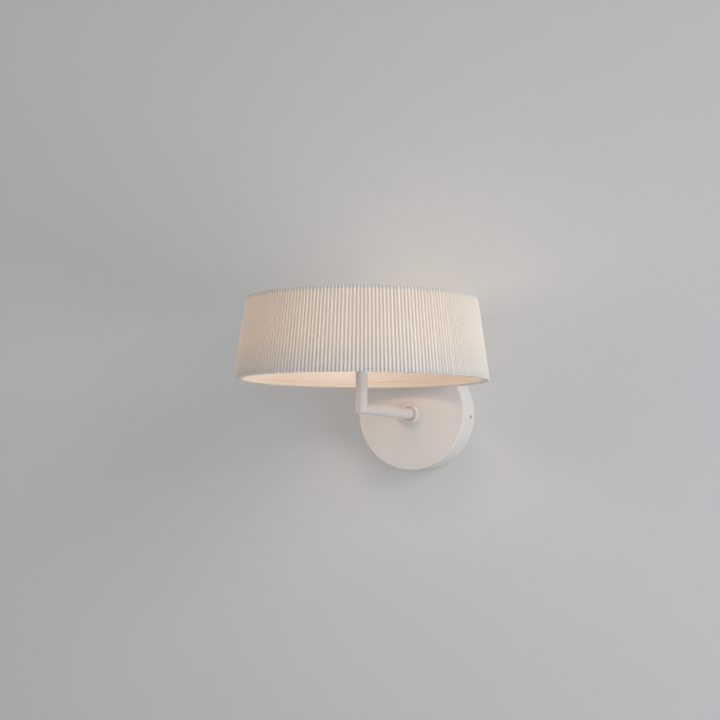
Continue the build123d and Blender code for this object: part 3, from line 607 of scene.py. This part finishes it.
def pleated_sheet(settings):
    """The points of the cloth's two faces, each as rows by columns, and how deep in the fold each point is.

    A column is a place along the cloth and a row a height. The angle round the shade is the pleat's number
    plus the share of the pitch that the fold line has gone along, and the radius is that of the cone less
    how far the fold goes in. The inner face is the outer one moved in by the thickness, square to the
    cloth. Each ridge leans by a small random angle at the top and at the bottom, and each fold is shallower
    by a random share.
    """
    points = FOLD_POINTS
    count = settings.pleats
    low, high = SHADE_LOW.z, SHADE_HIGH.z
    between = np.linspace(low + SHEET_EDGE, high - SHEET_EDGE, SHEET_ROWS)
    heights = np.concatenate([[low], between, [high]])
    part = (heights - low) / (high - low)
    cone = (settings.bottom_diameter + (settings.top_diameter - settings.bottom_diameter) * part) / 2
    step = 2 * np.pi / count
    along, inwards, direction = fold_line(
        fold_swing(cone * step, settings.cloth_in_pleat), settings.cloth_in_pleat, points
    )
    depth = inwards / inwards.min(axis=1, keepdims=True)

    chance = np.random.default_rng(UNEVEN_SEED)
    lean = chance.normal(0.0, settings.unevenness / 2, (2, count))
    kept_depth = 1.0 - MOST_SHALLOW * chance.random(count)
    lean_row = lean[0][None, :] * (1 - part)[:, None] + lean[1][None, :] * part[:, None]
    towards_next = (1 - np.cos(np.pi * np.arange(points) / points)) / 2
    next_lean = np.roll(lean_row, -1, axis=1)
    shift = lean_row[:, :, None] * (1 - towards_next) + next_lean[:, :, None] * towards_next

    faces = []
    for inset in (0.0, settings.cloth_thickness):
        forward = (along + inset * np.sin(direction)) / (cone * step)[:, None]
        drop = inwards[:, None, :] * kept_depth[None, :, None] - inset * np.cos(direction)[:, None, :]
        angle = (np.arange(count)[None, :, None] + forward[:, None, :] + shift) * step
        radius = cone[:, None, None] + drop
        x = SHADE_AXIS[0] + radius * np.cos(angle)
        y = SHADE_AXIS[1] + radius * np.sin(angle)
        z = np.broadcast_to(heights[:, None, None], x.shape)
        faces.append(np.stack([x, y, z], axis=-1).reshape(len(heights), count * points, 3))
    fold = np.broadcast_to(depth[:, None, :], (len(heights), count, points)).reshape(len(heights), -1)
    return faces[0], faces[1], fold, part


def ring_mesh(name, rows, flat, fold):
    """A mesh from rows of points that close round both ways, with flat coordinates and fold depth."""
    tall, wide = rows.shape[:2]
    mesh = bpy.data.meshes.new(name)
    row, column = np.meshgrid(np.arange(tall), np.arange(wide), indexing="ij")
    next_row, next_column = (row + 1) % tall, (column + 1) % wide
    here, above = row * wide, next_row * wide
    corners = np.stack(
        [here + column, here + next_column, above + next_column, above + column], axis=-1
    ).reshape(-1, 4)
    mesh.from_pydata(rows.reshape(-1, 3), [], corners)
    mesh.polygons.foreach_set("use_smooth", np.ones(len(corners), dtype=bool))

    across, up = flat
    next_across = np.append(across[1:], 2 * across[-1] - across[-2])
    places = np.stack(
        [
            np.stack([across[column], up[row]], axis=-1),
            np.stack([next_across[column], up[row]], axis=-1),
            np.stack([next_across[column], up[next_row]], axis=-1),
            np.stack([across[column], up[next_row]], axis=-1),
        ],
        axis=-2,
    )
    layer = mesh.uv_layers.new(name="flat_cloth")
    layer.data.foreach_set("uv", places.reshape(-1).astype(np.float32))
    attribute = mesh.attributes.new("fold", "FLOAT", "POINT")
    attribute.data.foreach_set("value", fold.reshape(-1).astype(np.float32))
    mesh.update()
    return mesh


def add_piece(mesh):
    """Links a mesh into the scene as an object at the origin."""
    piece = bpy.data.objects.new(mesh.name, mesh)
    bpy.context.scene.collection.objects.link(piece)
    return piece


class SCONCE_OT_cloth(bpy.types.Operator):
    """Pleats the shade's cloth and puts it in the place of the plain pleats"""

    bl_idname = "sconce.cloth"
    bl_label = "Pleated cloth"

    def execute(self, context):
        settings = context.scene.sconce_shade
        outer, inner, fold, part = pleated_sheet(settings)
        rise = SHADE_HIGH.z - SHADE_LOW.z
        lean_in = (settings.bottom_diameter - settings.top_diameter) / 2
        slant = math.hypot(rise, lean_in)
        columns = outer.shape[1]
        across = np.arange(columns) * settings.cloth_in_pleat * settings.pleats / columns
        rows = np.concatenate([outer, inner[::-1]])
        up = np.concatenate([part, part[::-1]]) * slant
        mesh = ring_mesh("pleated_cloth", rows, (across, up), np.concatenate([fold, fold[::-1]]))
        cloth = add_piece(mesh)
        cloth.data.materials.append(pleat_cloth(settings).material)
        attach(cloth, "shade")
        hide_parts("shade_pleats")
        return {"FINISHED"}


class SCONCE_OT_shade_frame(bpy.types.Operator):
    """Finishes the liner and the two rings that the cloth is fixed to"""

    bl_idname = "sconce.shade_frame"
    bl_label = "Shade frame"

    def execute(self, context):
        settings = context.scene.sconce_shade
        finish_nodes(liner_film(settings.liner, settings.liner_glow), "shade_liner")
        plastic = moulded("ring_plastic", settings.ring, grain_scale=3200.0, depth=0.00003, rough=0.42)
        finish_nodes(plastic, "shade_top_ring")
        finish_nodes(wrapped_ring(settings), "shade_bottom_ring")
        return {"FINISHED"}


class SCONCE_OT_painted_metal(bpy.types.Operator):
    """Puts the powder coat on the cover, the collar, the arm, the caps, the spider and the finial"""

    bl_idname = "sconce.painted_metal"
    bl_label = "Painted metal"

    def execute(self, context):
        coat = powder_coat(context.scene.sconce_finish.paint)
        finish_nodes(coat, "wall_cover", "arm_collar", "arm_tube", "stem_tube")
        finish_nodes(coat, "base_cap", "top_cap", "shade_spider", "finial")
        return {"FINISHED"}


class SCONCE_OT_bare_metal(bpy.types.Operator):
    """Finishes the bracket, the fasteners, the threaded tubes and the lug"""

    bl_idname = "sconce.bare_metal"
    bl_label = "Bare metal"

    def execute(self, context):
        settings = context.scene.sconce_finish
        zinc = zinc_plate(settings.steel)
        finish_nodes(zinc, "wall_bracket", "wall_washer", "wall_nut", "head_nut")
        finish_nodes(zinc, "terminal_screws", "module_screws", "earth_screw")
        finish_nodes(blackened_steel(settings.black), "cover_grub_screws")
        out_thread = threaded_brass("brass_thread_out", settings.brass, 1)
        up_thread = threaded_brass("brass_thread_up", settings.brass, 2)
        finish_nodes(out_thread, "wall_nipple", "earth_lug")
        finish_nodes(up_thread, "head_nipple")
        return {"FINISHED"}


class SCONCE_OT_lamp_head(bpy.types.Operator):
    """Finishes the core, the LED strip, its light sources and the milky tube"""

    bl_idname = "sconce.lamp_head"
    bl_label = "Lamp head"

    def execute(self, context):
        settings = context.scene.sconce_finish
        finish_nodes(turned_aluminium(settings.aluminium), "led_core")
        finish_nodes(strip_board(settings.board), "led_strip")
        finish_nodes(lit_phosphor(settings.phosphor, settings.phosphor_glow), "led_chips")
        finish_nodes(lit_opal(settings.opal, settings.opal_glow), "opal_tube")
        return {"FINISHED"}


class SCONCE_OT_electrics(bpy.types.Operator):
    """Finishes the driver, the terminal block and the leads"""

    bl_idname = "sconce.electrics"
    bl_label = "Electrics"

    def execute(self, context):
        settings = context.scene.sconce_finish
        case = moulded("driver_case", settings.driver, grain_scale=4200.0, depth=0.00005, rough=0.46)
        nylon = moulded("terminal_nylon", settings.terminal, grain_scale=2400.0, depth=0.00003, rough=0.34)
        finish_nodes(case, "led_driver")
        finish_nodes(nylon, "terminal_block")
        finish_nodes(sheath("live_sheath", settings.live), "live_wire")
        finish_nodes(sheath("neutral_sheath", settings.neutral), "neutral_wire")
        finish_nodes(sheath("earth_sheath", settings.earth, settings.earth_stripe), "earth_wire")
        finish_nodes(sheath("lead_sheath", settings.lead), "lamp_lead", "strip_wires")
        return {"FINISHED"}


def flat_panel(name, corner, first, second):
    """A flat panel: a corner plus shares from 0 to 1 of two edges, on a grid of two by two points."""
    shares = np.array([[0.0, 0.0], [1.0, 0.0], [1.0, 1.0], [0.0, 1.0]])
    points = np.array(corner) + shares @ np.array([first, second])
    mesh = bpy.data.meshes.new(name)
    mesh.from_pydata(points, [], [(0, 1, 2, 3)])
    mesh.update()
    return add_piece(mesh)


def wall_paint(tint, halo):
    """Rolled wall paint: a fine stipple and faint clouds; seen from behind the wall isn't there.

    The light that the cloth lets through falls on the wall as the third power of the lamp's distance from
    the wall over its distance from each point.
    """
    finish = Finish("wall_paint")
    stipple = finish.noise(420.0, detail=3.0)
    cloud = finish.noise(5.0, detail=3.0)
    base = finish.toned(stipple * 0.4 + cloud * 0.6, tint, 0.98, 1.02)
    out = -SHADE_AXIS[1]
    up = (SHADE_LOW.z + SHADE_HIGH.z) / 2
    across = (finish.along(0) - SHADE_AXIS[0]) / out
    above = (finish.along(2) - up) / out
    nearness = (across * across + above * above + 1.0) ** -1.5
    light = finish.mixed(nearness, NO_LIGHT, halo)
    relief = finish.bump(stipple, distance=0.0004, strength=0.35)
    painted = finish.shader(base, 0.85, relief, light, specular_ior_level=0.2)
    nothing = finish.node("ShaderNodeBsdfTransparent")
    behind = finish.node("ShaderNodeNewGeometry", out="Backfacing")
    finish.end(finish.node("ShaderNodeMixShader", (), {0: behind, 1: painted, 2: nothing}))
    return finish


def pale_floor(tint):
    """A plain matt floor with a faint grain."""
    finish = Finish("pale_floor")
    grain = finish.noise(220.0)
    return finish.surface(finish.toned(grain, tint, 0.99, 1.01), 0.8)


def add_soft_box(name, box, target, power):
    """A square light that stands off from a target and faces it."""
    light = bpy.data.lights.new(name, "AREA")
    light.shape = "SQUARE"
    light.size = box.size
    light.energy = power
    light.color = box.tint
    light.spread = math.radians(box.spread)
    lamp = bpy.data.objects.new(name, light)
    lamp.location = target + Vector(box.place)
    lamp.rotation_euler = (-Vector(box.place)).to_track_quat("-Z", "Y").to_euler()
    bpy.context.scene.collection.objects.link(lamp)
    return lamp


def light_studio(settings):
    """Four soft boxes that face the middle of the sconce, and one behind that faces the cover's open back.

    The fill stays out of gloss, where it would burn out the cover's face seen from the side.
    """
    middle = (CAD_BOX[0] + CAD_BOX[1]) / 2
    add_soft_box("key_light", KEY_BOX, middle, settings.key_power)
    fill = add_soft_box("fill_light", FILL_BOX, middle, settings.fill_power)
    fill.visible_glossy = False
    add_soft_box("front_light", FRONT_BOX, middle, settings.front_power)
    add_soft_box("bounce_light", BOUNCE_BOX, middle, settings.bounce_power)
    add_soft_box("back_light", BACK_BOX, Vector(), settings.back_power)


def light_shade_inside(power):
    """The lamp's own light: a ring of small lights that lean out and down, and one that goes up and back."""
    top = Vector((*SHADE_AXIS, SHADE_HIGH.z))
    for i in range(RING_LIGHTS):
        turn = 2 * math.pi * (i + 0.5) / RING_LIGHTS
        out = Vector((math.cos(turn), math.sin(turn), 0.0))
        place = top + out * RING_LIGHT_RADIUS - Vector((0.0, 0.0, RING_LIGHT_DROP))
        aim = out - Vector((0.0, 0.0, RING_LIGHT_LEAN))
        box = SoftBox(-aim, RING_LIGHT_SIZE, LAMP_TINT)
        add_soft_box(f"lamp_light_{i}", box, place + aim, power / RING_LIGHTS)
    aim = Vector(UP_LIGHT_AIM)
    box = SoftBox(-aim, UP_LIGHT_SIZE, LAMP_TINT)
    add_soft_box("lamp_light_up", box, top + aim, power * UP_LIGHT_SHARE)


def set_world(strength):
    """Even light from all round, a little cool; the camera, gloss and glass see a pale grey."""
    world = bpy.data.worlds.new("studio")
    bpy.context.scene.world = world
    world.use_nodes = True
    nodes, links = world.node_tree.nodes, world.node_tree.links
    nodes.clear()
    path = nodes.new("ShaderNodeLightPath")
    around = nodes.new("ShaderNodeBackground")
    around.inputs["Color"].default_value = solid(WORLD_TINT)
    around.inputs["Strength"].default_value = strength
    seen = nodes.new("ShaderNodeBackground")
    seen.inputs["Color"].default_value = solid(WORLD_SEEN)
    chosen = nodes.new("ShaderNodeMixShader")
    output = nodes.new("ShaderNodeOutputWorld")
    looks = path.outputs["Is Camera Ray"]
    for ray in ("Is Glossy Ray", "Is Transmission Ray"):
        either = nodes.new("ShaderNodeMath")
        either.operation = "MAXIMUM"
        links.new(looks, either.inputs[0])
        links.new(path.outputs[ray], either.inputs[1])
        looks = either.outputs[0]
    links.new(looks, chosen.inputs[0])
    links.new(around.outputs[0], chosen.inputs[1])
    links.new(seen.outputs[0], chosen.inputs[2])
    links.new(chosen.outputs[0], output.inputs["Surface"])


def add_camera(lens):
    """The photograph's camera, from its place and two of its axes."""
    right, up = Vector(CAMERA_RIGHT), Vector(CAMERA_UP)
    back = right.cross(up)
    camera = bpy.data.cameras.new("photo_camera")
    camera.sensor_width = SENSOR_WIDTH
    camera.lens = lens
    camera.clip_start = NEAREST_SEEN
    camera.clip_end = FARTHEST_SEEN
    holder = bpy.data.objects.new("photo_camera", camera)
    turn = Matrix((right, up, back)).transposed()
    holder.matrix_world = Matrix.Translation(CAMERA_PLACE) @ turn.to_4x4()
    bpy.context.scene.collection.objects.link(holder)
    bpy.context.scene.camera = holder


class SCONCE_OT_stage(bpy.types.Operator):
    """Makes the wall, the floor, the studio light, the lamp's light and the camera"""

    bl_idname = "sconce.stage"
    bl_label = "Stage"

    def execute(self, context):
        settings = context.scene.sconce_stage
        low = -settings.floor_height
        wall_corner = (-WALL_WIDTH / 2, -WALL_LIFT, low)
        wall = flat_panel("stage_wall", wall_corner, (WALL_WIDTH, 0.0, 0.0), (0.0, 0.0, WALL_HEIGHT))
        wall.data.materials.append(wall_paint(settings.wall, settings.halo).material)
        wall.visible_shadow = False
        floor_corner = (-FLOOR_SIDE / 2, -FLOOR_SIDE / 2, low)
        floor = flat_panel("stage_floor", floor_corner, (FLOOR_SIDE, 0.0, 0.0), (0.0, FLOOR_SIDE, 0.0))
        floor.data.materials.append(pale_floor(settings.floor).material)
        light_studio(settings)
        light_shade_inside(settings.lamp_power)
        set_world(settings.ambient)
        add_camera(settings.lens)
        context.scene.view_settings.view_transform = "Standard"
        return {"FINISHED"}


class SCONCE_PT_panel(bpy.types.Panel):
    """Lists the sconce's settings and its operators"""

    bl_idname = "SCONCE_PT_panel"
    bl_label = "Sconce"
    bl_space_type = "VIEW_3D"
    bl_region_type = "UI"
    bl_category = "Sconce"

    def draw(self, context):
        for title, pointer, operators in PANEL_ROWS:
            box = self.layout.box()
            box.label(text=title)
            settings = getattr(context.scene, pointer)
            for name in settings.__annotations__:
                box.prop(settings, name)
            for operator in operators:
                box.operator(operator.bl_idname)


PANEL_ROWS = (
    ("Shade", "sconce_shade", (SCONCE_OT_cloth, SCONCE_OT_shade_frame)),
    (
        "Finishes",
        "sconce_finish",
        (SCONCE_OT_painted_metal, SCONCE_OT_bare_metal, SCONCE_OT_lamp_head, SCONCE_OT_electrics),
    ),
    ("Stage", "sconce_stage", (SCONCE_OT_stage,)),
)

CLASSES = (
    ShadeSettings,
    FinishSettings,
    StageSettings,
    SCONCE_OT_cloth,
    SCONCE_OT_shade_frame,
    SCONCE_OT_painted_metal,
    SCONCE_OT_bare_metal,
    SCONCE_OT_lamp_head,
    SCONCE_OT_electrics,
    SCONCE_OT_stage,
    SCONCE_PT_panel,
)


def register():
    """Registers the classes and gives each scene its settings."""
    for item in CLASSES:
        bpy.utils.register_class(item)
    bpy.types.Scene.sconce_shade = PointerProperty(type=ShadeSettings)
    bpy.types.Scene.sconce_finish = PointerProperty(type=FinishSettings)
    bpy.types.Scene.sconce_stage = PointerProperty(type=StageSettings)


def unregister():
    """Takes the settings and the classes away again."""
    del bpy.types.Scene.sconce_stage
    del bpy.types.Scene.sconce_finish
    del bpy.types.Scene.sconce_shade
    for item in reversed(CLASSES):
        bpy.utils.unregister_class(item)


def corners(box):
    """A box's two corners as plain lists."""
    return [[float(part) for part in corner] for corner in box]


def main():
    """Registers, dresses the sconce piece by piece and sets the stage."""
    register()
    bpy.ops.sconce.stage()
    bpy.ops.sconce.cloth()
    bpy.ops.sconce.shade_frame()
    bpy.ops.sconce.painted_metal()
    bpy.ops.sconce.bare_metal()
    bpy.ops.sconce.lamp_head()
    bpy.ops.sconce.electrics()


if __name__ == "__main__":
    main()
